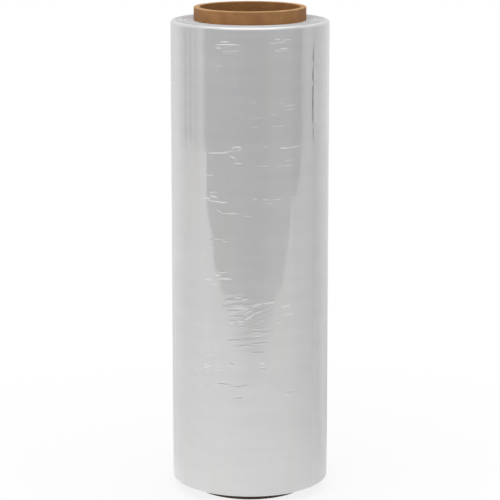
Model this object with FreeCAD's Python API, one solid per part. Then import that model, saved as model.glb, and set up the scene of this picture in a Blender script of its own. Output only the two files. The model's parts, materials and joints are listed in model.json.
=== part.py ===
# A roll of clear stretch wrap on a paper tube, standing on the end of the tube.
# Millimetres, +Z up. The origin is the centre of the tube's lower end, on the surface that it
# stands on. The front faces -Y, and a bearing is counted from the front towards +X, in degrees.
import FreeCAD
import Part
import math
import os
from FreeCAD import Vector

# Driving sizes of the paper tube
tube_bore = 76.2            # a three inch core, which dispensers and hand grips fit
tube_wall = 4.2             # the wound paper plies together
tube_foot = 7.5             # bare tube below the film, which the roll stands on
tube_head = 10.0            # bare tube above the film
tube_outer_break = 0.8      # outer corner of each cut end, broken by handling
tube_inner_break = 0.35     # inner corner of each cut end

# Driving sizes of the wound film
film_width = 355.6          # width of the web, along the roll
film_build = 17.7           # depth of film wound on the tube
film_edge_round = 2.0       # rounded outer corner, where the turns stretch over the web's edge bead
film_edge_flats = 3         # short flats that the round is drawn with
tail_step = 0.25            # step down at the free end, where the last few turns stop together
tail_bearing = 52.0         # where the free end lies, facing the front of the roll
outer_turn_arcs = 3         # tangent arcs that the outermost turn is drawn with

# The edges of the turns on the two ends. The web wanders sideways while it is wound, so groups of
# turns stand proud or sunk, and the two ends wander together, because the web keeps its width.
turn_groups = 10            # groups of turns that can be told apart on an end
turn_wander = 0.3           # furthest that a group stands proud or sunk
turn_swing = 2.4            # how far the wander moves on from one group to the next, in radians
turn_unevenness = 0.25      # how much the groups differ in depth, as a share of a group

# Creases of the outermost turn: folds that stand up and run out into the surface at both ends.
# Each has a bearing, its place across the web (0 at the lower edge, 1 at the upper edge), half its
# length, its slope (rising to the right is positive, in degrees) and the height of its crest.
crease_flank = 1.6          # half width of a fold for each unit of its height
crease_root = 1.5           # how far a fold's section reaches down from its crest
crease_burial = 1.3         # how far a fold is carried on under the surface, as a share of its length
creases = (
    (-18.0, 0.968, 10.0, 1.0, 0.30),
    (-14.0, 0.953, 9.0, -2.0, 0.30),
    (21.0, 0.973, 8.0, -2.0, 0.26),
    (25.0, 0.957, 6.0, 2.0, 0.26),
    (4.0, 0.812, 8.0, 1.0, 0.24),
    (29.0, 0.828, 7.0, 8.0, 0.26),
    (-22.0, 0.741, 12.0, 8.0, 0.40),
    (30.0, 0.745, 9.0, 3.0, 0.30),
    (31.0, 0.721, 8.0, 6.0, 0.26),
    (-25.0, 0.637, 10.0, -9.0, 0.36),
    (-12.0, 0.612, 13.0, -2.0, 0.24),
    (-5.0, 0.409, 12.0, 1.0, 0.36),
    (8.0, 0.416, 9.0, 10.0, 0.34),
    (-2.0, 0.385, 9.0, 30.0, 0.30),
    (25.0, 0.413, 5.0, 12.0, 0.34),
    (-36.0, 0.262, 10.0, -24.0, 0.42),
    (-21.0, 0.247, 12.0, -9.0, 0.38),
    (-52.0, 0.268, 9.0, -12.0, 0.30),
    (29.0, 0.226, 6.0, 6.0, 0.26),
    (-9.0, 0.220, 6.0, 4.0, 0.26),
    (95.0, 0.905, 10.0, 4.0, 0.30),
    (118.0, 0.655, 12.0, -6.0, 0.36),
    (140.0, 0.330, 11.0, 9.0, 0.34),
    (152.0, 0.800, 12.0, -4.0, 0.36),
    (190.0, 0.520, 10.0, 5.0, 0.30),
    (212.0, 0.235, 12.0, -14.0, 0.38),
    (233.0, 0.740, 10.0, 7.0, 0.34),
    (255.0, 0.440, 9.0, -5.0, 0.30),
    (275.0, 0.885, 9.0, 3.0, 0.28),
)
# The free end lifts off the roll in one stretch, as a fold that stands along the roll.
lip_across = 0.855          # its place across the web
lip_reach = 36.0            # half its length
lip_slope = 88.0            # nearly upright, as the web was torn off a little askew
lip_rise = 0.45             # height of its crest
lip_back = 1.8              # how far the crest lies behind the free end, in degrees

# Sizes that follow from the driving ones
bore_radius = tube_bore / 2
tube_radius = bore_radius + tube_wall
film_radius = tube_radius + film_build
film_bottom = tube_foot
film_top = film_bottom + film_width
tube_length = film_top + tube_head

up = Vector(0, 0, 1)
origin = Vector(0, 0, 0)


def direction(bearing):
    """Unit vector that points out of the roll at a bearing in degrees."""
    angle = math.radians(bearing)
    return Vector(math.sin(angle), -math.cos(angle), 0)


def polygon_face(points):
    """Flat face with straight sides through the points."""
    return Part.Face(Part.makePolygon(points + points[:1]))


def turned(outline):
    """Solid turned round the roll's axis from an outline of (radius, height) pairs."""
    points = [Vector(radius, 0, height) for radius, height in outline]
    return polygon_face(points).revolve(origin, up, 360)


def paper_tube():
    """Wound paper tube with its corners broken at both cut ends."""
    outer = tube_outer_break
    inner = tube_inner_break
    return turned([
        (bore_radius, inner),
        (bore_radius + inner, 0),
        (tube_radius - outer, 0),
        (tube_radius, outer),
        (tube_radius, tube_length - outer),
        (tube_radius - outer, tube_length),
        (bore_radius + inner, tube_length),
        (bore_radius, tube_length - inner),
    ])


def wander(group):
    """How far a group of turns stands along the roll from its true place."""
    return turn_wander * math.sin(turn_swing * group)


def group_edge(group):
    """Radius at which a group of turns begins, counted outwards from the tube."""
    uneven = turn_unevenness * math.sin(turn_swing * group * group)
    if group in (0, turn_groups):
        uneven = 0
    return tube_radius + (film_build - film_edge_round) * (group + uneven) / turn_groups


def end_lands(level):
    """One end's outline from the tube outwards: a flat land for each group of turns."""
    outline = []
    for group in range(turn_groups):
        height = level + wander(group)
        outline.append((group_edge(group), height))
        outline.append((group_edge(group + 1), height))
    return outline


def edge_round(level, side):
    """Rounded outer corner at one end, from the last land to the side; side is -1 below, 1 above."""
    centre_radius = film_radius - film_edge_round
    centre_height = level + wander(turn_groups - 1) - side * film_edge_round
    outline = []
    for flat in range(1, film_edge_flats + 1):
        angle = math.radians(90 - 90 * flat / film_edge_flats)
        outline.append((centre_radius + film_edge_round * math.cos(angle),
                        centre_height + side * film_edge_round * math.sin(angle)))
    return outline


def wound_web():
    """Every turn of the web as one ring, with the lands of the turns on both ends."""
    lower = end_lands(film_bottom) + edge_round(film_bottom, -1)
    upper = end_lands(film_top) + edge_round(film_top, 1)
    upper.reverse()
    return turned(lower + upper)


def outer_turn():
    """Prism inside the outermost turn: tangent arcs that shrink by the tail's step in all."""
    sweep = 360 / outer_turn_arcs
    shrink = tail_step / outer_turn_arcs
    centre = origin
    radius = film_radius
    edges = []
    for arc in range(outer_turn_arcs):
        bearings = [tail_bearing + sweep * (arc + share) for share in (0, 0.5, 1)]
        edges.append(Part.Arc(*[centre + direction(b) * radius for b in bearings]).toShape())
        centre = centre + direction(bearings[2]) * shrink
        radius = radius - shrink
    tail = Part.LineSegment(edges[-1].lastVertex().Point, edges[0].firstVertex().Point)
    section = Part.Face(Part.Wire(edges + [tail.toShape()]))
    margin = turn_wander + film_edge_round
    section.translate(up * (film_bottom - margin))
    return section.extrude(up * (film_width + 2 * margin))


def fold(bearing, across, reach, slope, rise):
    """One fold of the outermost turn: a roof-shaped bar bent along its length.

    Its crest bends more tightly than the roll does along it, so it comes up out of the film and
    runs back into it at both ends.
    """
    roll_bend = math.cos(math.radians(slope)) ** 2 / film_radius
    crest_radius = 1 / (roll_bend + 2 * rise / reach ** 2)
    half_sweep = math.degrees(crease_burial * reach / crest_radius)
    out = direction(bearing)
    height = up * (film_bottom + across * film_width)
    crest = height + out * (film_radius + rise)
    centre = crest - out * crest_radius
    root = crest - out * crease_root
    spread = up * (crease_root * crease_flank)
    bar = polygon_face([crest, root + spread, root - spread])
    bar.rotate(centre, up, -half_sweep)
    bar = bar.revolve(centre, up, 2 * half_sweep)
    bar.rotate(centre, out, -slope)
    return bar


def film_roll():
    """The wound film: turns on the ends, the free end's step down the side, and creases."""
    web = wound_web().common(outer_turn())
    folds = [fold(*values) for values in creases]
    folds.append(fold(tail_bearing + lip_back, lip_across, lip_reach, lip_slope, lip_rise))
    return web.fuse(folds).removeSplitter()


def export(shape, node):
    """Write one node's solids to its own STEP file."""
    solids = shape.Solids
    whole = solids[0] if len(solids) == 1 else Part.makeCompound(solids)
    print(node, "solids", len(solids), "valid", whole.isValid(), "volume", round(whole.Volume, 1))
    whole.exportStep(os.path.join("parts", node + ".step"))


os.makedirs("parts", exist_ok=True)
export(paper_tube(), "core_tube")
export(film_roll(), "film_roll")
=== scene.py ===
"""A roll of clear stretch film on a brown paper tube, standing on the end of the tube.

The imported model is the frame: every piece is placed from its sizes, with +Z up, the front facing
-Y, and bearings counted from the front towards +X. Sizes are millimetres until a mesh is made.
"""

import json
import logging
import math
from dataclasses import dataclass
from enum import Enum
from typing import Any

import bpy
import numpy as np
from bpy.types import Material, Mesh, Node, NodeSocket, NodeTree, Object
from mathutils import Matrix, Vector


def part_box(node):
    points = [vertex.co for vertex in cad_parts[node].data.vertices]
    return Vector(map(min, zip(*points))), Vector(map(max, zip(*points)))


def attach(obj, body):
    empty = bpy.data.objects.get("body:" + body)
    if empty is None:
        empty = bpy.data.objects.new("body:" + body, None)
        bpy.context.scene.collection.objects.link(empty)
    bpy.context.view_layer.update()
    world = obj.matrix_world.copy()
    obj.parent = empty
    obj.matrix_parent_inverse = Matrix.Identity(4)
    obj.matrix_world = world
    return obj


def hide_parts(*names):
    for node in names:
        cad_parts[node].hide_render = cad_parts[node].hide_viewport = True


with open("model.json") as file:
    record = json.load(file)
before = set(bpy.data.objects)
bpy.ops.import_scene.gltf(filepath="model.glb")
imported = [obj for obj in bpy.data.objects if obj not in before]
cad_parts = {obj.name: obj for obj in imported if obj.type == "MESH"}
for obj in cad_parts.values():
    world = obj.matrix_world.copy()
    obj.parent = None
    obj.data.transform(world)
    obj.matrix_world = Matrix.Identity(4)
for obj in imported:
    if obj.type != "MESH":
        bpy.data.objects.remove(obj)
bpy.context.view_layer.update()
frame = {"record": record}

MM = 0.001
log = logging.getLogger("roll")


class End(Enum):
    """The two ends of the roll, each with the way that it faces along Z."""

    LOWER = -1
    UPPER = 1


def linear(hex_colour: str) -> tuple[float, float, float, float]:
    """Turn an sRGB colour into the linear values that the shaders take.

    Args:
        hex_colour: Six hex digits after a hash, such as "#9a7048".

    Returns:
        Linear red, green and blue, with an alpha of 1.
    """
    channels = [int(hex_colour[i:i + 2], 16) / 255 for i in (1, 3, 5)]
    red, green, blue = (c / 12.92 if c <= 0.04045 else ((c + 0.055) / 1.055) ** 2.4
                        for c in channels)
    return red, green, blue, 1.0


def add_node(tree: NodeTree, kind: str, inputs: dict[str | int, Any] | None = None,
             **settings: Any) -> Node:
    """Add one node to a tree, with its settings and links.

    Args:
        tree: The tree of a material, a world or a Geometry Nodes modifier.
        kind: The node's type name.
        inputs: By an input's name or number, a value, an output socket that feeds it, or a node
            whose first output does.
        **settings: Values of the node's own properties.

    Returns:
        The node.
    """
    node = tree.nodes.new(kind)
    for name, value in settings.items():
        setattr(node, name, value)
    for key, value in (inputs or {}).items():
        if isinstance(value, Node):
            value = value.outputs[0]
        if isinstance(value, NodeSocket):
            tree.links.new(value, node.inputs[key])
        else:
            node.inputs[key].default_value = value
    return node


def new_material(name: str) -> tuple[Material, NodeTree]:
    """Start a material with an empty tree."""
    made = bpy.data.materials.new(name)
    made.use_nodes = True
    made.node_tree.nodes.clear()
    return made, made.node_tree


def blended(tree: NodeTree, pattern: Node | NodeSocket, span: tuple[float, float],
            first: str | NodeSocket, second: str,
            shares: tuple[float, float] = (0.0, 1.0)) -> NodeSocket:
    """Blend from one colour to a second one as a pattern crosses a span.

    Args:
        tree: The material's tree.
        pattern: What the blend follows.
        span: The pattern's values at which the blend starts and ends.
        first: The first colour, in hex, or a socket that gives it.
        second: The second colour, in hex.
        shares: How much of the second colour shows at the span's start and at its end.

    Returns:
        The colour.
    """
    share = add_node(tree, "ShaderNodeMapRange", {
        0: pattern, 1: span[0], 2: span[1], 3: shares[0], 4: shares[1]})
    ground = linear(first) if isinstance(first, str) else first
    mix = add_node(tree, "ShaderNodeMix", {0: share, 6: ground, 7: linear(second)},
                   data_type="RGBA")
    return mix.outputs[2]


def direction(bearing: np.ndarray | float) -> tuple[np.ndarray, np.ndarray]:
    """Give the X and Y of a unit vector that points out of the roll at a bearing in radians."""
    return np.sin(bearing), -np.cos(bearing)


def closed_sweep(columns: int, rows: int) -> np.ndarray:
    """Number the quads of a ring whose outline and whose sweep both close on themselves.

    Args:
        columns: How many outlines stand round the axis.
        rows: How many points each outline has. Point (column, row) is number column * rows + row.

    Returns:
        One row of four point numbers for each quad, facing outwards where the outline runs
        anticlockwise as seen with the radius to the right and the height upwards.
    """
    column, row = np.meshgrid(np.arange(columns), np.arange(rows), indexing="ij")
    after, above = (column + 1) % columns, (row + 1) % rows
    corners = (column * rows + row, after * rows + row,
               after * rows + above, column * rows + above)
    return np.stack(corners, axis=-1).reshape(-1, 4)


def grid_quads(number: np.ndarray) -> np.ndarray:
    """Number the quads of an open grid of points, from the grid of the points' numbers."""
    corners = (number[:-1, :-1], number[1:, :-1], number[1:, 1:], number[:-1, 1:])
    return np.stack(corners, axis=-1).reshape(-1, 4)


def grid_border(number: np.ndarray) -> np.ndarray:
    """Number the points round the border of such a grid, once each, down its first side first."""
    return np.concatenate([number[:, 0], number[-1, 1:], number[-2::-1, -1], number[0, -2:0:-1]])


def mesh_piece(name: str, points: np.ndarray, faces: np.ndarray, materials: list[Material],
               face_material: np.ndarray | None = None, sharp_deg: float = 40.0) -> Object:
    """Make a smooth-shaded mesh object at the origin.

    Args:
        name: The piece's name.
        points: Corners in millimetres, one row each.
        faces: Corner numbers, one row for each face.
        materials: The piece's finishes.
        face_material: Which finish each face has, or None where there is one.
        sharp_deg: Edges that turn by more than this stay sharp.

    Returns:
        The object, linked to the scene.
    """
    mesh = bpy.data.meshes.new(name)
    mesh.from_pydata((points * MM).tolist(), [], faces.tolist())
    for material in materials:
        mesh.materials.append(material)
    if face_material is not None:
        mesh.polygons.foreach_set("material_index", face_material.astype(np.int32))
    mesh.shade_smooth()
    mesh.set_sharp_from_angle(angle=math.radians(sharp_deg))
    mesh.validate()
    piece = bpy.data.objects.new(name, mesh)
    bpy.context.scene.collection.objects.link(piece)
    return piece


@dataclass(frozen=True)
class Ripple:
    """A family of gentle waves on the unrolled film, added up with a fixed seed.

    The lengths are the shortest and longest wave along the web and across it, and depth is the
    spread of the sum, all in millimetres.
    """

    along: tuple[float, float]
    across: tuple[float, float]
    depth: float
    seed: int
    waves: int = 36

    def height(self, arc: np.ndarray, level: np.ndarray) -> np.ndarray:
        """Give the sum of the waves at places on the web.

        Args:
            arc: Distance round the roll, in millimetres.
            level: Height up the roll, in millimetres.

        Returns:
            Heights in millimetres, spread about zero.
        """
        draw = np.random.default_rng(self.seed)
        total = np.zeros(np.broadcast(arc, level).shape)
        for _ in range(self.waves):
            side = draw.choice((-1.0, 1.0))
            round_roll = side * math.tau / draw.uniform(*self.along)
            up_roll = math.tau / draw.uniform(*self.across)
            total += np.cos(round_roll * arc + up_roll * level + draw.uniform(0, math.tau))
        return total * self.depth * math.sqrt(2 / self.waves)


@dataclass(frozen=True)
class Roll:
    """Sizes that every piece shares, in millimetres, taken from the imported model."""

    bore_radius: float
    tube_radius: float
    tube_length: float
    film_build: float = 17.7
    edge_round: float = 2.0
    tube_foot: float = 7.5
    tube_head: float = 10.0
    tail_bearing: float = 52.0
    tail_step: float = 0.06

    @classmethod
    def from_frame(cls) -> "Roll":
        """Read the tube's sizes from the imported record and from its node."""
        bore = next(m for m in frame["record"]["mounts"] if m["name"] == "core_bore")
        _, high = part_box("core_tube")
        return cls(bore["dims"]["r_mm"], high.x / MM, high.z / MM)

    @property
    def film_radius(self) -> float:
        """Outer radius of the wound film at its free end."""
        return self.tube_radius + self.film_build

    @property
    def film_bottom(self) -> float:
        """Height of the film's lower edge."""
        return self.tube_foot

    @property
    def film_top(self) -> float:
        """Height of the film's upper edge."""
        return self.tube_length - self.tube_head

    def level(self, across: float) -> float:
        """Height of a place across the web, which is 0 at the lower edge and 1 at the upper."""
        return self.film_bottom + across * (self.film_top - self.film_bottom)


@dataclass(frozen=True)
class ClingFilm:
    """Cast linear low density polyethylene, drawn thin and wound tight.

    One turn is clear and glossy. Hundreds of them scatter the light like milk, so the roll is a
    pale grey, and the air between the outer turns makes the shine stronger than one surface gives.
    The coat's refraction stands for all of them. The eye sees faint streaks and warmer bands in
    the milk, and flow lines that the drawing left in the surface. Lengths are in millimetres.
    """

    name: str = "cling_film"
    milk: str = "#c6c6c8"
    haze: str = "#cacacb"
    warm: str = "#c8c6c1"
    refraction: float = 1.51
    coat_refraction: float = 2.2
    gloss: float = 0.045
    depth_blur: float = 0.24
    streak_along: float = 60.0
    streak_across: float = 9.0
    streak_span: tuple[float, float] = (0.35, 0.65)
    band_along: float = 9.0
    band_across: float = 150.0
    band_span: tuple[float, float] = (0.5, 0.72)
    band_share: float = 0.6
    flow_along: float = 14.0
    flow_across: float = 1.6
    flow_depth: float = 0.007
    tail_bearing: float = 52.0
    radius: float = 60.0

    def material(self) -> Material:
        """Build the material: mottled milk under a sharp shine with fine drawn lines."""
        made, tree = new_material(self.name)
        unrolled = self.unrolled(tree)
        streaks = self.stretched_noise(tree, unrolled, self.streak_along, self.streak_across, 3.0)
        bands = self.stretched_noise(tree, unrolled, self.band_along, self.band_across, 1.0)
        flow = self.stretched_noise(tree, unrolled, self.flow_along, self.flow_across, 2.0)
        milk = blended(tree, streaks, self.streak_span, self.milk, self.haze)
        colour = blended(tree, bands, self.band_span, milk, self.warm, (0.0, self.band_share))
        bump = add_node(tree, "ShaderNodeBump", {
            "Strength": 1.0, "Distance": self.flow_depth * MM, "Height": flow})
        shader = add_node(tree, "ShaderNodeBsdfPrincipled", {
            "Base Color": colour, "Roughness": self.depth_blur, "IOR": self.refraction,
            "Specular IOR Level": 1.0, "Coat Weight": 1.0, "Coat Roughness": self.gloss,
            "Coat IOR": self.coat_refraction, "Normal": bump, "Coat Normal": bump})
        add_node(tree, "ShaderNodeOutputMaterial", {0: shader})
        return made

    def unrolled(self, tree: NodeTree) -> NodeSocket:
        """Give the place on the unrolled web, in metres: round the roll, up it, and outwards."""
        place = add_node(tree, "ShaderNodeTexCoord").outputs["Object"]
        # The cut in the angle lies at the free end, where the real pattern breaks off too.
        turned = add_node(tree, "ShaderNodeMapping", {
            "Vector": place, "Rotation": (0, 0, math.radians(-90 - self.tail_bearing))})
        parts = add_node(tree, "ShaderNodeSeparateXYZ", {0: turned}).outputs
        angle = add_node(tree, "ShaderNodeMath", {0: parts[1], 1: parts[0]}, operation="ARCTAN2")
        arc = add_node(tree, "ShaderNodeMath", {0: angle, 1: self.radius * MM},
                       operation="MULTIPLY")
        flat = add_node(tree, "ShaderNodeVectorMath", {0: place, 1: (1, 1, 0)},
                        operation="MULTIPLY")
        outwards = add_node(tree, "ShaderNodeVectorMath", {0: flat}, operation="LENGTH")
        return add_node(tree, "ShaderNodeCombineXYZ", {
            0: arc, 1: parts[2], 2: outwards.outputs["Value"]}).outputs[0]

    @staticmethod
    def stretched_noise(tree: NodeTree, place: NodeSocket, along: float,
                        across: float, detail: float) -> NodeSocket:
        """Add a noise whose features have a real size along the web and across it.

        Args:
            tree: The material's tree.
            place: The unrolled place, in metres.
            along: Feature length round the roll, in millimetres.
            across: Feature length up the roll, in millimetres.
            detail: How many finer layers the noise has.

        Returns:
            The noise, from 0 to 1.
        """
        scaled = add_node(tree, "ShaderNodeVectorMath", {
            0: place, 1: (1 / (along * MM), 1 / (across * MM), 1 / (across * MM))},
            operation="MULTIPLY")
        noise = add_node(tree, "ShaderNodeTexNoise",
                         {"Vector": scaled, "Scale": 1.0, "Detail": detail})
        return noise.outputs[0]


@dataclass(frozen=True)
class FilmEdges:
    """Slit edges of polyethylene film, pressed side by side: matter and whiter than its side.

    The eye sees fine rings, each a few turns that stand a little proud or sunk. A single turn is
    too thin to show, so the rings are drawn coarser. Lengths are in millimetres.
    """

    name: str = "film_edges"
    pale: str = "#d2d2d3"
    shade: str = "#c4c4c6"
    refraction: float = 1.51
    roughness: float = 0.42
    coat: float = 0.5
    coat_roughness: float = 0.3
    ring_pitch: float = 0.35
    ring_span: tuple[float, float] = (0.35, 0.65)
    ring_depth: float = 0.02
    ring_strength: float = 0.8

    def material(self) -> Material:
        """Build the material: rings of light and shade that follow the radius."""
        made, tree = new_material(self.name)
        place = add_node(tree, "ShaderNodeTexCoord").outputs["Object"]
        flat = add_node(tree, "ShaderNodeVectorMath", {0: place, 1: (1, 1, 0)},
                        operation="MULTIPLY")
        radius = add_node(tree, "ShaderNodeVectorMath", {0: flat}, operation="LENGTH")
        rings = add_node(tree, "ShaderNodeTexNoise", {
            "W": radius.outputs["Value"], "Scale": 1 / (self.ring_pitch * MM), "Detail": 2.0},
            noise_dimensions="1D")
        colour = blended(tree, rings, self.ring_span, self.shade, self.pale)
        bump = add_node(tree, "ShaderNodeBump", {
            "Strength": self.ring_strength, "Distance": self.ring_depth * MM, "Height": rings})
        shader = add_node(tree, "ShaderNodeBsdfPrincipled", {
            "Base Color": colour, "Roughness": self.roughness, "IOR": self.refraction,
            "Coat Weight": self.coat, "Coat Roughness": self.coat_roughness, "Normal": bump})
        add_node(tree, "ShaderNodeOutputMaterial", {0: shader})
        return made


@dataclass(frozen=True)
class CoreBoard:
    """Kraft paper board, wound in a spiral and glued: brown, dull, with long fibres.

    The fibres lie round the tube, handling leaves pale rubs along them, and the foot is turned dark
    grey by painted shade, standing for the shadow where the tube stands on the floor.
    Lengths are in millimetres.
    """

    name: str = "core_board"
    brown: str = "#a57645"
    dark: str = "#8e6036"
    pale: str = "#bd9262"
    refraction: float = 1.45
    roughness: float = 0.72
    cloud_size: float = 14.0
    cloud_span: tuple[float, float] = (0.3, 0.7)
    fibre_along: float = 3.0
    fibre_across: float = 0.35
    fibre_span: tuple[float, float] = (0.5, 0.8)
    rub_share: float = 0.5
    grain_depth: float = 0.05
    grain_strength: float = 0.7
    foot_shade: str = "#3d3a3d"
    foot_shade_height: tuple[float, float] = (3.5, 9.0)
    foot_shade_share: float = 0.85

    def material(self) -> Material:
        """Build the material: clouds, fibres and rubbed places, with a fine grain."""
        made, tree = new_material(self.name)
        place = add_node(tree, "ShaderNodeTexCoord").outputs["Object"]
        clouds = add_node(tree, "ShaderNodeTexNoise", {
            "Vector": place, "Scale": 1 / (self.cloud_size * MM), "Detail": 3.0})
        along, across = 1 / (self.fibre_along * MM), 1 / (self.fibre_across * MM)
        grain_place = add_node(tree, "ShaderNodeVectorMath", {0: place, 1: (along, along, across)},
                               operation="MULTIPLY")
        fibres = add_node(tree, "ShaderNodeTexNoise", {
            "Vector": grain_place, "Scale": 1.0, "Detail": 4.0})
        ground = blended(tree, clouds, self.cloud_span, self.dark, self.brown)
        rubbed = blended(tree, fibres, self.fibre_span, ground, self.pale, (0.0, self.rub_share))
        height = add_node(tree, "ShaderNodeSeparateXYZ", {0: place}).outputs[2]
        # Painted shade: the board turns dark grey towards the foot, for the shadow where the tube
        # meets the floor.
        low, high = self.foot_shade_height
        colour = blended(tree, height, (low * MM, high * MM), rubbed, self.foot_shade,
                         (self.foot_shade_share, 0.0))
        bump = add_node(tree, "ShaderNodeBump", {
            "Strength": self.grain_strength, "Distance": self.grain_depth * MM, "Height": fibres})
        shader = add_node(tree, "ShaderNodeBsdfPrincipled", {
            "Base Color": colour, "Roughness": self.roughness, "IOR": self.refraction,
            "Normal": bump})
        add_node(tree, "ShaderNodeOutputMaterial", {0: shader})
        return made


@dataclass(frozen=True)
class Crease:
    """One fold that stands up on the outermost turn.

    The bearing and the slope are in degrees, the place across the web is a share of its width, and
    half the length and the rise of the crest are in millimetres. Rising to the right is positive.
    """

    bearing: float
    across: float
    reach: float
    slope: float
    rise: float


# Hard folds of the front side, drawn in a whiter finish: painted highlight for their shine, with
# the paleness that stretching gives the film.
HARD_FOLDS = tuple(Crease(*values) for values in (
    (-16.1, 0.965, 10.7, 1, 0.3), (-18, 0.971, 3.8, 2, 0.23), (-14.2, 0.952, 7.9, 4, 0.3),
    (-22.9, 0.958, 2, -3, 0.23), (17.3, 0.969, 4.6, 3, 0.23), (22.1, 0.97, 3.6, 3, 0.3),
    (26.4, 0.974, 4.1, 2, 0.19), (19.8, 0.976, 2, -8, 0.2), (24.4, 0.956, 3.6, 3, 0.27),
    (21, 0.952, 3.9, -5, 0.22), (-24.1, 0.74, 8.6, 4, 0.22), (-14.2, 0.746, 3.6, 20, 0.25),
    (-9.2, 0.754, 3.3, 1, 0.24), (-7.7, 0.748, 2.1, 28, 0.17), (-11.6, 0.75, 1.8, -35, 0.19),
    (-12, 0.732, 2.8, -21, 0.19), (-8.8, 0.72, 3.7, 1, 0.15), (25.9, 0.75, 4.9, 0, 0.22),
    (33.7, 0.751, 5, 4, 0.19), (-32.1, 0.643, 3.1, 6, 0.25), (-26.4, 0.648, 3.8, -7, 0.24),
    (-26.4, 0.657, 4.6, 7, 0.16), (-28.4, 0.638, 2.6, -12, 0.25), (-21.4, 0.637, 6.4, -1, 0.24),
    (-22.1, 0.617, 2.7, -29, 0.17), (-14, 0.614, 7.6, 1, 0.16), (-30.8, 0.692, 4.4, -2, 0.16),
    (-23, 0.481, 2.4, 5, 0.32), (-17.7, 0.474, 5.5, 4, 0.24), (-30.7, 0.47, 4, 6, 0.35),
    (-26.2, 0.461, 2.5, 6, 0.27), (-8.9, 0.435, 3, 6, 0.24), (-3.6, 0.432, 2.6, 1, 0.22),
    (-7.2, 0.413, 7.9, 0, 0.4), (4.6, 0.419, 4.7, 16, 0.27), (13.7, 0.424, 5.8, 6, 0.24),
    (-12.6, 0.402, 3.9, 14, 0.27), (-5, 0.408, 5, 14, 0.21), (-1.1, 0.405, 4.3, 30, 0.32),
    (-0.4, 0.394, 4.4, 32, 0.37), (-0.7, 0.394, 2.3, -36, 0.27), (5.4, 0.404, 4.7, 18, 0.24),
    (26.3, 0.414, 4.2, 4, 0.4), (28, 0.396, 6, -1, 0.29), (-12.9, 0.381, 2.7, 11, 0.27),
    (-6.8, 0.384, 3, 5, 0.29), (-6.1, 0.378, 2.2, 1, 0.22), (21.2, 0.379, 2.8, 3, 0.24),
    (5.7, 0.353, 5.7, 8, 0.2), (-37, 0.307, 2.6, -22, 0.37), (-31.4, 0.306, 4.5, 8, 0.27),
    (-33.9, 0.285, 1.9, -10, 0.32), (-32.3, 0.281, 3.8, 20, 0.35), (-22.9, 0.277, 4.5, 6, 0.27),
    (-40, 0.268, 3.8, -24, 0.37), (-35.4, 0.261, 3.7, -27, 0.4), (-30.6, 0.255, 3.6, -14, 0.35),
    (-21, 0.252, 5.7, 2, 0.21), (8.6, 0.294, 2.7, -2, 0.35), (8.6, 0.285, 2.7, -2, 0.29),
    (-10.5, 0.221, 3.1, 7, 0.27), (30.7, 0.23, 4.4, 5, 0.24), (29.8, 0.22, 4.4, -8, 0.24),
))

# Soft folds of that side, which are lower, rounder and clear.
SOFT_FOLDS = tuple(Crease(*values) for values in (
    (-22.2, 0.923, 4.4, 5, 0.23), (-22.9, 0.914, 2, -2, 0.20), (19.9, 0.919, 2.7, 5, 0.20),
    (2.4, 0.847, 3.7, 0, 0.22), (1.7, 0.837, 3.7, 0, 0.22), (23, 0.846, 2.8, -3, 0.22),
    (29.5, 0.832, 6.4, 3, 0.25), (29.5, 0.84, 6.4, 1, 0.20), (16.7, 0.822, 3.1, -2, 0.20),
    (4.2, 0.816, 6.2, -1, 0.26), (3.9, 0.798, 4.4, -1, 0.25), (20.1, 0.798, 5.9, 2, 0.20),
    (28.7, 0.726, 4.7, 7, 0.25), (29.1, 0.715, 3.4, 5, 0.23), (22, 0.715, 3.2, 3, 0.22),
    (10.6, 0.756, 2.6, -2, 0.20), (9.2, 0.716, 6.3, -2, 0.19), (3.5, 0.647, 2.6, -1, 0.20),
    (11.3, 0.646, 3.4, -2, 0.23), (19.8, 0.645, 3.2, -4, 0.22), (32.5, 0.647, 3.6, -3, 0.22),
    (13.5, 0.637, 3.5, -9, 0.20), (-1.4, 0.611, 3.3, 0, 0.20), (-23.4, 0.56, 4.5, 5, 0.20),
    (-17.6, 0.556, 3.1, -3, 0.20), (-19.3, 0.478, 5.6, 4, 0.28), (-20, 0.489, 4.8, 9, 0.19),
    (-12.2, 0.43, 6.5, 4, 0.25), (-7.5, 0.421, 4.5, 4, 0.22), (4.7, 0.424, 9.3, 14, 0.19),
    (-13.3, 0.407, 4.6, 8, 0.22), (-6.1, 0.409, 3.9, 16, 0.20), (-9, 0.395, 5.3, 2, 0.25),
    (-13.3, 0.385, 3.1, 10, 0.20), (-5.7, 0.374, 2.6, 1, 0.19), (4.3, 0.362, 4.1, 2, 0.22),
    (6.4, 0.369, 4.9, 5, 0.19), (12.6, 0.361, 6.2, 8, 0.19), (-11.9, 0.343, 6.1, 5, 0.22),
    (-4.3, 0.332, 4.9, 6, 0.23), (7.2, 0.337, 7.2, 3, 0.22), (5.4, 0.317, 6, 0, 0.20),
    (-13, 0.291, 2.9, -20, 0.22), (-19.5, 0.246, 6.4, -3, 0.20), (-9, 0.242, 3.8, 0, 0.22),
    (-3.6, 0.245, 3.4, 1, 0.20), (-8.6, 0.217, 3.4, 6, 0.23), (29.4, 0.225, 4.8, -1, 0.20),
    (-63.4, 0.269, 9.1, 0, 0.23), (-50.9, 0.269, 6.9, 2, 0.20), (-32.3, 0.237, 2.7, 4, 0.17),
    (-30.3, 0.171, 3.1, 8, 0.17), (9.3, 0.281, 2.7, -2, 0.20), (-15.8, 0.963, 11.8, 1, 0.30),
    (-14.2, 0.951, 8.7, 3, 0.30), (19.6, 0.971, 7, 1, 0.25), (23.7, 0.953, 5.2, -1, 0.25),
    (-14.2, 0.747, 5.9, 13, 0.29), (-26.9, 0.64, 5.9, 1, 0.25),
))

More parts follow.
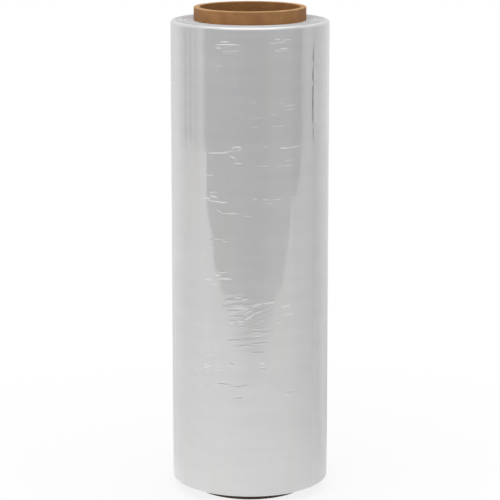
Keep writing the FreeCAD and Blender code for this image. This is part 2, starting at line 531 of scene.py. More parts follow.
# Folds of the side that the photo hides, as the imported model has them. Each has finer ones by it.
HIDDEN_FOLDS = tuple(Crease(*values) for values in (
    (95, 0.905, 10, 4, 0.30), (118, 0.655, 12, -6, 0.36), (140, 0.330, 11, 9, 0.34),
    (152, 0.800, 12, -4, 0.36), (190, 0.520, 10, 5, 0.30), (212, 0.235, 12, -14, 0.38),
    (233, 0.740, 10, 7, 0.34), (255, 0.440, 9, -5, 0.30), (275, 0.885, 9, 3, 0.28),
))


@dataclass(frozen=True)
class Slack:
    """A patch of the web that was laid slack, with low ripples side by side.

    The bearing and the slope are in degrees, the place across the web is a share of its width, and
    half the patch's length and height are in millimetres. The strength is a share of the depth.
    """

    bearing: float
    across: float
    slope: float
    half_along: float
    half_across: float
    strength: float


# Slack patches of the side that the photo shows.
SLACK_PLACES = tuple(Slack(*values) for values in (
    (4, 0.817, 0, 9, 10, 0.6), (28, 0.836, 12, 9, 6, 0.5), (30, 0.730, 8, 9, 9, 0.6),
    (-10, 0.735, -20, 6, 5, 0.6), (-25, 0.550, 4, 8, 6, 0.5), (-4, 0.425, 6, 13, 9, 0.6),
    (6, 0.390, 18, 14, 8, 0.6), (0, 0.350, 5, 15, 8, 0.6), (-36, 0.300, -10, 9, 6, 0.6),
))


@dataclass(frozen=True)
class Puckers:
    """Low ripples of the outermost turn: round each fold, at the slack places, and scattered.

    Lengths are in millimetres. For a patch round a fold, half its length, half its height and its
    strength are given. Each patch draws its pitch, and how long the sway of its ripples is.
    """

    round_fold: tuple[float, float, float] = (11.0, 4.5, 1.2)
    scattered: int = 40
    bearings: tuple[float, float] = (80, 275)
    places_across: tuple[float, float] = (0.04, 0.97)
    slope_spread: float = 6
    half_along: tuple[float, float] = (6, 14)
    half_across: tuple[float, float] = (3, 7)
    strengths: tuple[float, float] = (0.4, 1.0)
    pitch: tuple[float, float] = (3.2, 5.6)
    sway: float = 0.8
    sway_length: tuple[float, float] = (4, 9)
    depth: float = 0.055
    seed: int = 41

    def height(self, roll: Roll, arc: np.ndarray, level: np.ndarray) -> np.ndarray:
        """Give the sum of the patches at places on the web.

        Args:
            roll: The roll's sizes.
            arc: Distance round the roll from the front, in millimetres, one row for each column.
            level: Heights up the roll, in millimetres, in one row.

        Returns:
            Heights in millimetres, spread about zero.
        """
        draw = np.random.default_rng(self.seed)
        places = list(SLACK_PLACES)
        places += [Slack(f.bearing, f.across, f.slope, *self.round_fold) for f in HIDDEN_FOLDS]
        places += [Slack(draw.uniform(*self.bearings), draw.uniform(*self.places_across),
                         draw.normal(0, self.slope_spread), draw.uniform(*self.half_along),
                         draw.uniform(*self.half_across), draw.uniform(*self.strengths))
                   for _ in range(self.scattered)]
        turn = roll.film_radius * math.tau
        total = np.zeros(np.broadcast(arc, level).shape)
        for place in places:
            middle = math.radians(place.bearing) * roll.film_radius
            across = (arc - middle + turn / 2) % turn - turn / 2
            up = level - roll.level(place.across) - across * math.tan(math.radians(place.slope))
            envelope = np.exp(-(across / place.half_along) ** 2 - (up / place.half_across) ** 2)
            wave = math.tau / draw.uniform(*self.pitch)
            bend = across / draw.uniform(*self.sway_length) + draw.uniform(0, math.tau)
            sway = self.sway * np.sin(bend)
            total += place.strength * self.depth * envelope * np.cos(wave * up + sway)
        return total


@dataclass
class WoundFilm:
    """The wound web: the lands of its turns on both ends, and the outermost turn down the side.

    A land starts and ends at shares of its turn's depth. The slack is how far the outermost turn
    lies inside the CAD film, so that its ripples stay inside too. They die out over the still
    degrees on both sides of the free end. The seam is the last column's place, as a share of the
    turn. Lengths are in millimetres.
    """

    roll: Roll
    round_steps: int = 8
    turn_groups: int = 10
    turns_in_group: int = 2
    land: tuple[float, float] = (0.08, 0.92)
    turn_wander: float = 0.3
    turn_swing: float = 2.4
    turn_unevenness: float = 0.25
    turn_jitter: float = 0.035
    columns: int = 200
    seam: float = 0.9999
    row_pitch: float = 0.92
    slack: float = 0.13
    still: float = 6.0
    seed: int = 7
    puckers: Puckers = Puckers()
    ripples: tuple[Ripple, ...] = (
        Ripple(along=(260, 900), across=(26, 70), depth=0.016, seed=3),
        Ripple(along=(22, 60), across=(14, 34), depth=0.007, seed=11),
        Ripple(along=(9, 22), across=(7, 15), depth=0.0014, seed=23),
        Ripple(along=(30, 90), across=(4, 8), depth=0.0004, seed=31),
    )

    def wander(self, group: int) -> float:
        """How far a group of turns stands along the roll from its true place."""
        return self.turn_wander * math.sin(self.turn_swing * group)

    def group_edge(self, group: int) -> float:
        """Radius at which a group of turns begins, counted outwards from the tube."""
        uneven = self.turn_unevenness * math.sin(self.turn_swing * group * group)
        if group in (0, self.turn_groups):
            uneven = 0
        depth = self.roll.film_build - self.roll.edge_round
        return self.roll.tube_radius + depth * (group + uneven) / self.turn_groups

    def end_outline(self, end: End) -> list[tuple[float, float]]:
        """Outline of one end from the tube outwards: lands with fine steps, then the round.

        Args:
            end: Which end of the roll.

        Returns:
            Pairs of radius and height.
        """
        draw = np.random.default_rng(self.seed)
        level = self.roll.film_bottom if end is End.LOWER else self.roll.film_top
        outline = []
        for group in range(self.turn_groups):
            inner, outer = self.group_edge(group), self.group_edge(group + 1)
            for turn in range(self.turns_in_group):
                jitter = self.turn_jitter * draw.uniform(-1, 1)
                height = level + self.wander(group) + jitter
                for share in self.land:
                    depth = (outer - inner) * (turn + share) / self.turns_in_group
                    outline.append((inner + depth, height))
        corner = self.roll.edge_round
        centre_radius = self.roll.film_radius - corner
        centre_height = level + self.wander(self.turn_groups - 1) - end.value * corner
        for step in range(self.round_steps + 1):
            angle = math.radians(90 - 90 * step / self.round_steps)
            outline.append((centre_radius + corner * math.cos(angle),
                            centre_height + end.value * corner * math.sin(angle)))
        return outline

    def build(self, side: Material, edges: Material) -> Object:
        """Make the film's mesh, closed and facing outwards.

        Args:
            side: The finish of the outermost turn.
            edges: The finish of the turns' edges on the two ends.

        Returns:
            The piece, which stands for the CAD film.
        """
        lower, upper = self.end_outline(End.LOWER), self.end_outline(End.UPPER)
        radius = self.roll.film_radius
        wall_from, wall_to = lower[-1][1], upper[-1][1]
        steps = round((wall_to - wall_from) / self.row_pitch)
        wall = [(radius, wall_from + (wall_to - wall_from) * i / steps) for i in range(1, steps)]
        inner = [(self.roll.tube_radius, upper[0][1]), (self.roll.tube_radius, lower[0][1])]
        outline = np.array(lower + wall + upper[::-1] + inner)

        turn = np.append(np.arange(self.columns) / self.columns, self.seam)
        bearing = np.radians(self.roll.tail_bearing + 360 * turn)
        out, level = outline[:, 0][None, :], outline[:, 1][None, :]
        arc = radius * bearing[:, None]
        ripple = sum(family.height(arc, level) for family in self.ripples)
        ripple = ripple + self.puckers.height(self.roll, arc, level)
        # The ripples die out at the free end, so that its step is even from edge to edge.
        ripple = ripple * np.clip(np.minimum(turn, 1 - turn) * 360 / self.still, 0, 1)[:, None]
        sunk = np.clip(self.slack + ripple, 0, None) + self.roll.tail_step * turn[:, None]
        corner = self.roll.edge_round
        skin = np.sqrt(np.clip((out - (radius - corner)) / corner, 0, 1))
        out = out - sunk * skin
        east, south = direction(bearing[:, None])
        points = np.stack([out * east, out * south, np.broadcast_to(level, out.shape)], axis=-1)

        columns, rows = out.shape
        faces = closed_sweep(columns, rows)
        row = np.arange(columns * rows) % rows
        first = len(lower) - self.round_steps - 1
        last = len(lower) + len(wall) + self.round_steps - 1
        on_end = (row < first) | (row > last)
        piece = mesh_piece("film_web", points.reshape(-1, 3), faces, [side, edges], on_end)
        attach(piece, "root")
        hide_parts("film_roll")
        return piece


@dataclass
class FreeEnd:
    """The loose end of the web, which lifts off the roll in one stretch and leaves a dark gap.

    The stretch's middle is a place across the web, as a share of its width. So is each place where
    it clings again, given with its half width. Lengths are in millimetres: the reach is half the
    stretch, the overhang and what is held back lie on the two sides of the film's own end, and
    the depths say how far in the held side and the clings lie. The lean is how much greater the
    lift is higher up, as a share, and the curl is the power by which it falls off round the roll.
    """

    roll: Roll
    across: float = 0.858
    reach: float = 36.0
    overhang: float = 1.3
    held_back: float = 6.0
    lift: float = 0.48
    lean: float = 0.1
    curl: float = 1.7
    inset: float = 0.02
    held_depth: float = 0.06
    cling_depth: float = 0.14
    clings: tuple[tuple[float, float], ...] = ((0.919, 2.2), (0.879, 1.6), (0.789, 2.4))
    thickness: float = 0.10
    columns: int = 20
    rows: int = 150
    waves: Ripple = Ripple(along=(30, 60), across=(9, 26), depth=0.08, seed=5)

    def build(self, side: Material) -> Object:
        """Make the lifted strip as a thin closed sheet.

        Args:
            side: The finish of the outermost turn.

        Returns:
            The piece.
        """
        share = np.linspace(0, 1, self.columns)[:, None]
        up = np.linspace(-1, 1, self.rows)[None, :]
        level = self.roll.level(self.across) + up * self.reach + 0 * share
        loose = np.ones_like(level)
        for place, width in self.clings:
            loose = loose * (1 - np.exp(-((level - self.roll.level(place)) / width) ** 2))
        free = (1 - up ** 4) * (1 - self.lean + self.lean * up) * loose
        radius = self.roll.film_radius
        arc_start = radius * math.radians(self.roll.tail_bearing) - self.overhang * free
        arc = arc_start + share * (self.held_back + self.overhang)
        raised = free * (self.lift + self.waves.height(arc, level)) * (1 - share) ** self.curl
        outer = (radius - self.held_depth * share - self.inset - self.cling_depth * (1 - loose)
                 + np.clip(raised, 0, None))
        shells = []
        for out in (outer, outer - self.thickness):
            east, south = direction(arc / radius)
            shells.append(np.stack([out * east, out * south, level], axis=-1).reshape(-1, 3))
        points = np.concatenate(shells)
        number = np.arange(self.columns * self.rows).reshape(self.columns, self.rows)
        front = grid_quads(number)
        back = front[:, ::-1] + number.size
        border = grid_border(number)
        after = np.roll(border, -1)
        rim = np.stack([after, border, border + number.size, after + number.size], -1)
        piece = mesh_piece("film_free_end", points, np.concatenate([front, back, rim]), [side])
        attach(piece, "root")
        return piece


def new_tree(name: str, sockets: dict[str, tuple[str, ...]]) -> tuple[NodeTree, Node]:
    """Start a Geometry Nodes tree with named inputs and one geometry output.

    Args:
        name: The tree's name.
        sockets: The names of the inputs, by the kind of socket that they have.

    Returns:
        The tree and its group input node.
    """
    tree = bpy.data.node_groups.new(name, "GeometryNodeTree")
    tree.interface.new_socket("Geometry", in_out="INPUT", socket_type="NodeSocketGeometry")
    tree.interface.new_socket("Geometry", in_out="OUTPUT", socket_type="NodeSocketGeometry")
    for kind, labels in sockets.items():
        for label in labels:
            tree.interface.new_socket(label, in_out="INPUT", socket_type="NodeSocket" + kind)
    return tree, add_node(tree, "NodeGroupInput")


def grown_piece(name: str, seed_mesh: Mesh, tree: NodeTree, values: dict[str, Any]) -> Object:
    """Run a Geometry Nodes tree and keep its result as a plain mesh.

    Args:
        name: The piece's name.
        seed_mesh: The mesh that goes into the tree.
        tree: The tree, whose inputs are set by their identifiers.
        values: The value of each input, by the input's name.

    Returns:
        The finished piece, with no modifier left on it.
    """
    carrier = bpy.data.objects.new(name + "_seed", seed_mesh)
    bpy.context.scene.collection.objects.link(carrier)
    modifier = carrier.modifiers.new("grow", "NODES")
    modifier.node_group = tree
    identifiers = {item.name: item.identifier for item in tree.interface.items_tree
                   if item.item_type == "SOCKET" and item.in_out == "INPUT"}
    for label, value in values.items():
        modifier[identifiers[label]] = value
    bpy.context.view_layer.update()
    graph = bpy.context.evaluated_depsgraph_get()
    mesh = bpy.data.meshes.new_from_object(carrier.evaluated_get(graph), depsgraph=graph)
    carrier.modifiers.clear()
    bpy.data.objects.remove(carrier)
    mesh.name = name
    piece = bpy.data.objects.new(name, mesh)
    bpy.context.scene.collection.objects.link(piece)
    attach(piece, "root")
    return piece


@dataclass
class CreaseField:
    """Folds of one kind on the outermost turn: ones that show, and clusters on the hidden side.

    A fold's half width is its rise times the flank. The clusters are drawn at random beside the
    hidden folds, from the ranges given, and every rise of that side is scaled. The spread is how
    far the finer folds of a cluster lie from its first one, along the web and across it. Lengths
    are in millimetres. A ray from inside the film finds the skin that a fold stands on.
    """

    roll: Roll
    name: str
    shown: tuple[Crease, ...]
    flank: float
    hidden_scale: float = 1.0
    clusters: int = 22
    bearings: tuple[float, float] = (95, 265)
    places_across: tuple[float, float] = (0.06, 0.96)
    reaches: tuple[float, float] = (4, 9)
    slope_spread: float = 7
    rises: tuple[float, float] = (0.14, 0.26)
    in_cluster: int = 7
    spread_along: float = 13.0
    spread_across: float = 8.0
    root: float = 0.16
    section_points: int = 5
    length_points: int = 7
    blunt: float = 0.08
    ray_start: float = 50.0
    ray_length: float = 20.0
    seed: int = 14

    def unit_fold(self) -> Object:
        """Make the lens-shaped fold that is repeated, one unit long and wide each way."""
        across, along = np.meshgrid(np.linspace(-1, 1, self.section_points),
                                    np.linspace(-1, 1, self.length_points))
        taper = np.sqrt(np.clip(1 - along ** 2, 0, 1)) * (1 - self.blunt) + self.blunt
        rise = np.cos(across * math.pi / 2) ** 2 * (1 - along ** 2)
        top = np.stack([along, across * taper, rise], -1).reshape(-1, 3)
        number = np.arange(top.shape[0]).reshape(across.shape)
        border = grid_border(number.T)
        root = top[border] * (1, 1, 0) - (0, 0, 1)
        under = np.arange(len(border)) + number.size
        after = np.roll(border, -1)
        rim = np.stack([border, after, np.roll(under, -1), under], -1)
        mesh = bpy.data.meshes.new("unit_fold")
        mesh.from_pydata(np.concatenate([top, root]).tolist(), [],
                         grid_quads(number).tolist() + rim.tolist() + [under.tolist()])
        # The border stays sharp, so that the hidden root doesn't turn the shading of the fold.
        ends = np.empty(2 * len(mesh.edges), np.int32)
        mesh.edges.foreach_get("vertices", ends)
        sharp = np.isin(ends.reshape(-1, 2), border).all(axis=1)
        mesh.attributes.new("sharp_edge", "BOOLEAN", "EDGE").data.foreach_set("value", sharp)
        return bpy.data.objects.new("unit_fold", mesh)

    def chosen(self) -> Mesh:
        """Make a point for each fold, with its sizes as attributes, on the unrolled web."""
        circumference = self.roll.film_radius * math.tau
        draw = np.random.default_rng(self.seed)
        hidden = [Crease(draw.uniform(*self.bearings), draw.uniform(*self.places_across),
                         draw.uniform(*self.reaches), draw.normal(0, self.slope_spread),
                         draw.uniform(*self.rises)) for _ in range(self.clusters)]
        hidden = [Crease(f.bearing, f.across, f.reach, f.slope, f.rise * self.hidden_scale)
                  for f in (*HIDDEN_FOLDS, *hidden)]
        folds = [*self.shown, *hidden]
        mesh = bpy.data.meshes.new("fold_places")
        places = [(f.bearing / 360 * circumference, self.roll.level(f.across), 0) for f in folds]
        mesh.from_pydata((np.array(places) * MM).tolist(), [], [])
        for name in ("reach", "slope", "rise"):
            scale = math.radians(1) if name == "slope" else MM
            values = np.array([getattr(f, name) * scale for f in folds], np.float32)
            mesh.attributes.new(name, "FLOAT", "POINT").data.foreach_set("value", values)
        amounts = np.array([1] * len(self.shown) + [self.in_cluster] * len(hidden), np.int32)
        mesh.attributes.new("amount", "INT", "POINT").data.foreach_set("value", amounts)
        return mesh

    def tree(self) -> NodeTree:
        """Build the tree: folds and companions on the flat web, then rolled onto the film."""
        tree, given = new_tree(self.name, {
            "Object": ("Unit Fold", "Film"), "Vector": ("Spread",), "Int": ("Seed",),
            "Float": ("Film Radius", "Flank", "Root", "Ray Start", "Ray Length"),
            "Material": ("Finish",)})
        source = given.outputs
        amount = add_node(tree, "GeometryNodeInputNamedAttribute", {"Name": "amount"},
                          data_type="INT")
        copies = add_node(tree, "GeometryNodeDuplicateElements", {
            "Geometry": source["Geometry"], "Amount": amount}, domain="POINT")
        later = add_node(tree, "FunctionNodeCompare", {
            2: copies.outputs[1], 3: 0}, data_type="INT", operation="GREATER_THAN")
        shift = add_node(tree, "FunctionNodeRandomValue", {
            0: (-1, -1, 0), 1: (1, 1, 0), "Seed": source["Seed"]}, data_type="FLOAT_VECTOR")
        offset = add_node(tree, "ShaderNodeVectorMath", {
            0: shift, 1: source["Spread"]}, operation="MULTIPLY")
        placed = add_node(tree, "GeometryNodeSetPosition", {
            "Geometry": copies, "Selection": later, "Offset": offset})

        # A companion is shorter and lower than the fold that it goes with, and leans a little.
        drawn = {}
        for step, (name, low, high, first, how) in enumerate((
                ("reach", 0.25, 0.7, 1.0, "MULTIPLY"), ("rise", 0.25, 0.65, 1.0, "MULTIPLY"),
                ("slope", -0.08, 0.08, 0.0, "ADD")), start=1):
            own = add_node(tree, "GeometryNodeInputNamedAttribute", {"Name": name})
            share = self.drawn(tree, source, later, low, high, step, first)
            drawn[name] = add_node(tree, "ShaderNodeMath", {0: own, 1: share}, operation=how)
        width = add_node(tree, "ShaderNodeMath", {0: drawn["rise"], 1: source["Flank"]},
                         operation="MULTIPLY")
        size = add_node(tree, "ShaderNodeCombineXYZ", {
            0: drawn["reach"], 1: width, 2: drawn["rise"]})
        angle = add_node(tree, "ShaderNodeCombineXYZ", {2: drawn["slope"]})
        fold = add_node(tree, "GeometryNodeObjectInfo", {"Object": source["Unit Fold"]})
        stood = add_node(tree, "GeometryNodeInstanceOnPoints", {
            "Points": placed, "Instance": fold.outputs["Geometry"],
            "Rotation": angle, "Scale": size})
        real = add_node(tree, "GeometryNodeRealizeInstances", {0: stood})

        # The flat web is rolled up: a place along it becomes a bearing, and a ray finds the skin.
        flat = add_node(tree, "ShaderNodeSeparateXYZ", {
            0: add_node(tree, "GeometryNodeInputPosition")}).outputs
        bearing = add_node(tree, "ShaderNodeMath", {0: flat[0], 1: source["Film Radius"]},
                           operation="DIVIDE")
        east = add_node(tree, "ShaderNodeMath", {0: bearing}, operation="SINE")
        north = add_node(tree, "ShaderNodeMath", {0: bearing}, operation="COSINE")
        south = add_node(tree, "ShaderNodeMath", {0: north, 1: -1.0}, operation="MULTIPLY")
        outwards = add_node(tree, "ShaderNodeCombineXYZ", {0: east, 1: south})
        axis = add_node(tree, "ShaderNodeCombineXYZ", {2: flat[1]})
        inside = add_node(tree, "ShaderNodeVectorMath", {0: outwards, 3: source["Ray Start"]},
                          operation="SCALE")
        start = add_node(tree, "ShaderNodeVectorMath", {0: inside, 1: axis}, operation="ADD")
        film = add_node(tree, "GeometryNodeObjectInfo", {"Object": source["Film"]})
        hit = add_node(tree, "GeometryNodeRaycast", {
            "Target Geometry": film.outputs["Geometry"], "Source Position": start,
            "Ray Direction": outwards, "Ray Length": source["Ray Length"]})
        lift = add_node(tree, "ShaderNodeMath", {0: flat[2], 1: 0.0}, operation="MAXIMUM")
        below = add_node(tree, "ShaderNodeMath", {0: flat[2], 1: 0.0}, operation="LESS_THAN")
        sink = add_node(tree, "ShaderNodeMath", {0: below, 1: source["Root"]},
                        operation="MULTIPLY")
        total = add_node(tree, "ShaderNodeMath", {0: lift, 1: sink}, operation="SUBTRACT")
        raised = add_node(tree, "ShaderNodeVectorMath", {0: outwards, 3: total}, operation="SCALE")
        place = add_node(tree, "ShaderNodeVectorMath", {
            0: hit.outputs["Hit Position"], 1: raised}, operation="ADD")
        rolled = add_node(tree, "GeometryNodeSetPosition", {"Geometry": real, "Position": place})
        smooth = add_node(tree, "GeometryNodeSetShadeSmooth", {"Geometry": rolled})
        dressed = add_node(tree, "GeometryNodeSetMaterial", {
            "Geometry": smooth, "Material": source["Finish"]})
        add_node(tree, "NodeGroupOutput", {0: dressed})
        return tree

    @staticmethod
    def drawn(tree: NodeTree, source: Any, later: Node, low: float, high: float, step: int,
              first: float) -> NodeSocket:
        """Give a random share for a companion, and a fixed one for the fold that it goes with.

        Args:
            tree: The tree.
            source: The group input's outputs.
            later: The node that says which points are companions.
            low: The least share.
            high: The greatest share.
            step: Added to the seed, so that each use draws its own values.
            first: The share for the fold itself.

        Returns:
            The share.
        """
        seed = add_node(tree, "ShaderNodeMath", {0: source["Seed"], 1: float(step)},
                        operation="ADD")
        value = add_node(tree, "FunctionNodeRandomValue", {
            2: low, 3: high, "Seed": seed}, data_type="FLOAT")
        pick = add_node(tree, "GeometryNodeSwitch", {
            0: later, 1: first, 2: value.outputs[1]}, input_type="FLOAT")
        return pick.outputs[0]

    def build(self, film: Object, side: Material) -> Object:
        """Grow the folds on the film.

        Args:
            film: The wound film that they stand on.
            side: The finish of the outermost turn.

        Returns:
            The piece.
        """
        return grown_piece(self.name, self.chosen(), self.tree(), {
            "Unit Fold": self.unit_fold(), "Film": film,
            "Film Radius": self.roll.film_radius * MM, "Flank": self.flank, "Root": self.root * MM,
            "Spread": (self.spread_along * MM, self.spread_across * MM, 0.0),
            "Ray Start": self.ray_start * MM, "Ray Length": self.ray_length * MM,
            "Seed": self.seed, "Finish": side})


@dataclass
class TurnEdges:
    """Edges of the turns on one end: a spiral of fine ridges that lies on the lands.

    Lengths are in millimetres. The spiral starts the drop away from the film's end, and rays as
    long as the ray's length find the lands under it.
    """

    roll: Roll
    end: End
    turns: float = 37.0
    points_in_turn: int = 72
    ridge_width: float = 0.26
    ridge_rise: float = 0.11
    inset: float = 0.5
    drop: float = 4.0
    ray_length: float = 10.0

    def tree(self) -> NodeTree:
        """Build the tree: a spiral laid down on the film, with a flat ridge swept along it."""
        tree, given = new_tree("turn_edges_" + self.end.name.lower(), {
            "Object": ("Film",), "Int": ("Points In Turn",),
            "Float": ("Turns", "Inner Radius", "Outer Radius", "Level", "Facing", "Drop",
                      "Ray Length", "Ridge Width", "Ridge Rise"),
            "Material": ("Finish",)})
        source = given.outputs
        spiral = add_node(tree, "GeometryNodeCurveSpiral", {
            "Resolution": source["Points In Turn"], "Rotations": source["Turns"],
            "Start Radius": source["Inner Radius"], "End Radius": source["Outer Radius"],
            "Height": 0.0})
        facing = add_node(tree, "ShaderNodeCombineXYZ", {2: source["Facing"]})
        towards = add_node(tree, "ShaderNodeVectorMath", {0: facing, 3: -1.0}, operation="SCALE")
        above = add_node(tree, "ShaderNodeVectorMath", {0: facing, 3: source["Drop"]},
                         operation="SCALE")
        level = add_node(tree, "ShaderNodeCombineXYZ", {2: source["Level"]})
        start = add_node(tree, "ShaderNodeVectorMath", {
            0: add_node(tree, "GeometryNodeInputPosition"), 1: level}, operation="ADD")
        start = add_node(tree, "ShaderNodeVectorMath", {0: start, 1: above}, operation="ADD")
        film = add_node(tree, "GeometryNodeObjectInfo", {"Object": source["Film"]})
        hit = add_node(tree, "GeometryNodeRaycast", {
            "Target Geometry": film.outputs["Geometry"], "Source Position": start,
            "Ray Direction": towards, "Ray Length": source["Ray Length"]})
        laid = add_node(tree, "GeometryNodeSetPosition", {
            "Geometry": spiral, "Position": hit.outputs["Hit Position"]})
        upright = add_node(tree, "GeometryNodeSetCurveNormal", {"Curve": laid}, mode="Z_UP")
        ring = add_node(tree, "GeometryNodeCurvePrimitiveCircle", {"Resolution": 6, "Radius": 1.0})
        half = add_node(tree, "ShaderNodeMath", {0: source["Ridge Width"], 1: 0.5},
                        operation="MULTIPLY")
        shape = add_node(tree, "ShaderNodeCombineXYZ", {0: half, 1: source["Ridge Rise"], 2: 1.0})
        section = add_node(tree, "GeometryNodeTransform", {"Geometry": ring, "Scale": shape})
        swept = add_node(tree, "GeometryNodeCurveToMesh", {
            "Curve": upright, "Profile Curve": section, "Fill Caps": True})
        smooth = add_node(tree, "GeometryNodeSetShadeSmooth", {"Geometry": swept})
        real = add_node(tree, "GeometryNodeRealizeInstances", {0: smooth})
        dressed = add_node(tree, "GeometryNodeSetMaterial", {
            "Geometry": real, "Material": source["Finish"]})
        add_node(tree, "NodeGroupOutput", {0: dressed})
        return tree

    def build(self, film: Object, edges: Material) -> Object:
        """Lay the ridges on one end of the film.

        Args:
            film: The wound film that they lie on.
            edges: The finish of the turns' edges.

        Returns:
            The piece.
        """
        roll = self.roll
        level = roll.film_top if self.end is End.UPPER else roll.film_bottom
        name = "turn_edges_" + self.end.name.lower()
        return grown_piece(name, bpy.data.meshes.new("empty"), self.tree(), {
            "Film": film, "Turns": self.turns, "Points In Turn": self.points_in_turn,
            "Inner Radius": (roll.tube_radius + self.inset) * MM,
            "Outer Radius": (roll.film_radius - roll.edge_round - self.inset) * MM,
            "Level": level * MM, "Facing": float(self.end.value),
            "Drop": self.drop * MM, "Ray Length": self.ray_length * MM,
            "Ridge Width": self.ridge_width * MM, "Ridge Rise": self.ridge_rise * MM,
            "Finish": edges})


@dataclass
class PaperTube:
    """The paper tube: spiral plies whose outer joint shows as a slanting line, with cut rims.

    The corners' flats are drawn at angles in degrees. The columns at the joint are in widths of
    it, and the even columns leave its clearance free. The close rows of the wall go on as far as
    the tucked length inside the film. Lengths are in millimetres.
    """

    roll: Roll
    ply_lead: float = 139.0
    joint_width: float = 0.35
    joint_depth: float = 0.10
    joint_columns: tuple[float, ...] = (-2.0, -1.0, -0.5, 0.0, 0.5, 1.0, 2.0)
    joint_clearance: float = 3.0
    outer_break: float = 0.5
    inner_break: float = 0.35
    corner_angles: tuple[float, ...] = (15, 30, 45, 60, 75)
    plies: int = 9
    ply_depth: float = 0.05
    fray: float = 0.05
    columns: int = 180
    shown_pitch: float = 1.0
    hidden_pitch: float = 5.0
    bore_rows: int = 70
    tucked: float = 1.0
    seed: int = 2

    def levels(self) -> np.ndarray:
        """Heights of the outer wall's rows, close together only where the tube shows."""
        low, high = self.outer_break, self.roll.tube_length - self.outer_break
        hidden_from = self.roll.film_bottom + self.tucked
        hidden_to = self.roll.film_top - self.tucked
        lower = np.arange(low, hidden_from, self.shown_pitch)
        middle = np.arange(hidden_from, hidden_to, self.hidden_pitch)
        upper = np.arange(hidden_to, high, self.shown_pitch)
        return np.concatenate([lower, middle, upper, [high]])

    def rim(self) -> list[tuple[float, float]]:
        """Outline of a cut end from the outer break inwards: radius, and depth below the end."""
        outer = self.roll.tube_radius - self.outer_break
        inner = self.roll.bore_radius + self.inner_break
        angles = np.radians(self.corner_angles)
        corner = self.outer_break
        outline = [(outer + corner * math.sin(a), corner * (1 - math.cos(a)))
                   for a in angles[::-1]]
        # A ply is cut flat, and a shallow groove parts it from the next one.
        for ply in range(self.plies):
            for share, depth in ((0.1, 0.0), (0.8, 0.0), (0.95, self.ply_depth)):
                outline.append((outer + (inner - outer) * (ply + share) / self.plies, depth))
        corner = self.inner_break
        outline += [(inner - corner * math.sin(a), corner * (1 - math.cos(a))) for a in angles]
        return outline

    def build(self, wall: Material, inside: Material, cut: Material) -> Object:
        """Make the tube's mesh, with columns that follow the slant of the plies.

        Args:
            wall: The finish of the outer wall.
            inside: The finish of the bore.
            cut: The finish of the cut ends.

        Returns:
            The piece, which stands for the CAD tube.
        """
        length = self.roll.tube_length
        outer = [(self.roll.tube_radius, z) for z in self.levels()]
        top = [(r, length - d) for r, d in self.rim()]
        bore = [(self.roll.bore_radius, z) for z in
                np.linspace(length - self.inner_break, self.inner_break, self.bore_rows)]
        outline = np.array(outer + top + bore + self.rim()[::-1])
        out, level = outline[:, 0][None, :], outline[:, 1][None, :]

        joint = self.joint_width / self.roll.tube_radius
        even = np.arange(1, self.columns) * math.tau / self.columns
        clear = self.joint_clearance * joint
        start = np.concatenate([joint * np.array(self.joint_columns),
                                even[(even > clear) & (even < math.tau - clear)]])[:, None]
        bearing = start + math.tau * level / self.ply_lead
        groove = self.joint_depth * np.exp(-(start / joint) ** 2)
        number = np.arange(len(outline))[None, :]
        bore_from, bore_to = len(outer) + len(top), len(outer) + len(top) + len(bore)
        on_outer = number < len(outer)
        on_bore = (number >= bore_from) & (number < bore_to)
        out = out - groove * on_outer + groove * on_bore
        draw = np.random.default_rng(self.seed)
        ragged = draw.uniform(0, self.fray, (len(start), 1)) * (~on_outer & ~on_bore)
        level = level + np.where(level > length / 2, -ragged, ragged)
        east, south = direction(bearing)
        points = np.stack([out * east, out * south, level], axis=-1)
        columns, rows = out.shape
        row = np.arange(columns * rows) % rows
        finish = np.full(columns * rows, 2)
        finish[row < len(outer) - 1] = 0
        finish[(row >= bore_from) & (row < bore_to - 1)] = 1
        piece = mesh_piece("paper_tube", points.reshape(-1, 3), closed_sweep(columns, rows),
                           [wall, inside, cut], finish)
        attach(piece, "root")
        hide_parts("core_tube")
        return piece


Stops = tuple[tuple[float, float], ...]


@dataclass(frozen=True)
class Lamp:
    """A rectangular soft lamp that faces the middle of the roll.

    Its centre, and its width and height, are in metres. The brightness is the radiance of its
    face, where 1 is as bright as the white surround. The film's shine may show it or not.
    """

    name: str
    place: tuple[float, float, float]
    size: tuple[float, float]
    brightness: float
    in_shine: bool = False


